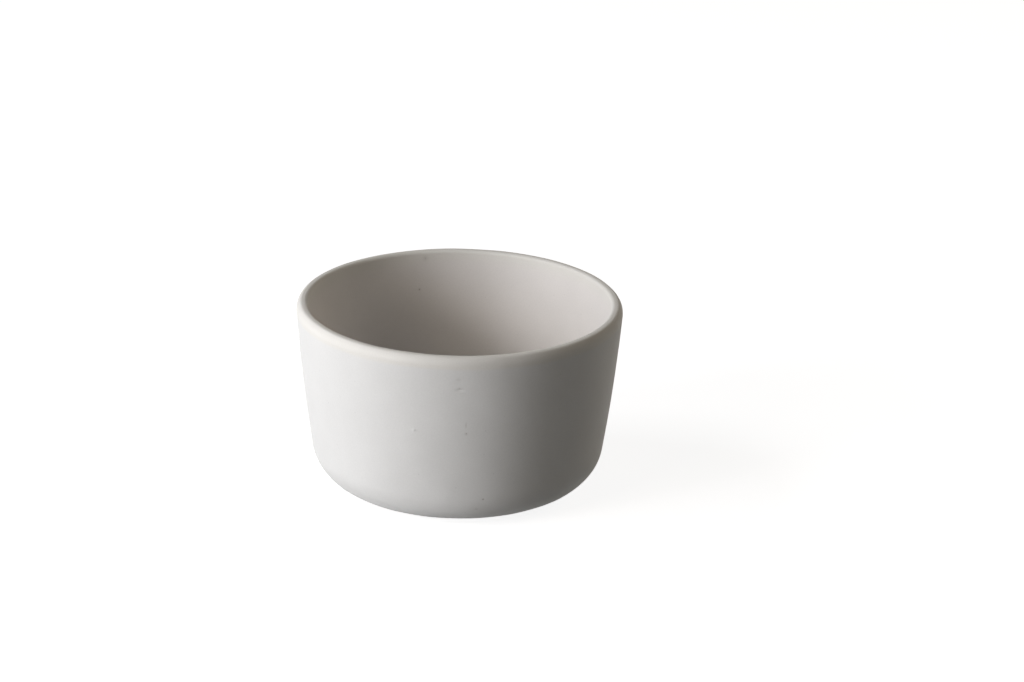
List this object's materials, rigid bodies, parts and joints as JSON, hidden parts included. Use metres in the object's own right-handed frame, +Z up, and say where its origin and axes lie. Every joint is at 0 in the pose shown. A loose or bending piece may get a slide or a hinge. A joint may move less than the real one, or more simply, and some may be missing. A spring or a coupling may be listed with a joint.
{
  "type": "latte bowl",
  "caption": "Handleless stoneware latte bowl with a faintly bowed wall, round heel, low foot ring and soft-shouldered lip, in a matte off-white glaze with a warmer liner and iron specks.",
  "frame": {"origin": "middle of the resting face under the foot ring", "axes": "+Z up along the axis the bowl was turned on, -Y towards the front that the picture shows"},
  "size_m": [0.11, 0.11, 0.065],
  "materials": {
    "stoneware": "matte",
    "outer_glaze": "matte",
    "inner_glaze": "satin",
    "rim_glaze": "satin",
    "base_glaze": "matte",
    "iron_speck": "satin"
  },
  "bodies": {
    "root": {"stoneware_body": "stoneware", "outer_glaze": "outer_glaze", "inner_glaze": "inner_glaze", "rim_glaze": "rim_glaze", "base_glaze": "base_glaze", "outer_specks": "iron_speck", "inner_specks": "iron_speck"}
  },
  "joints": []
}
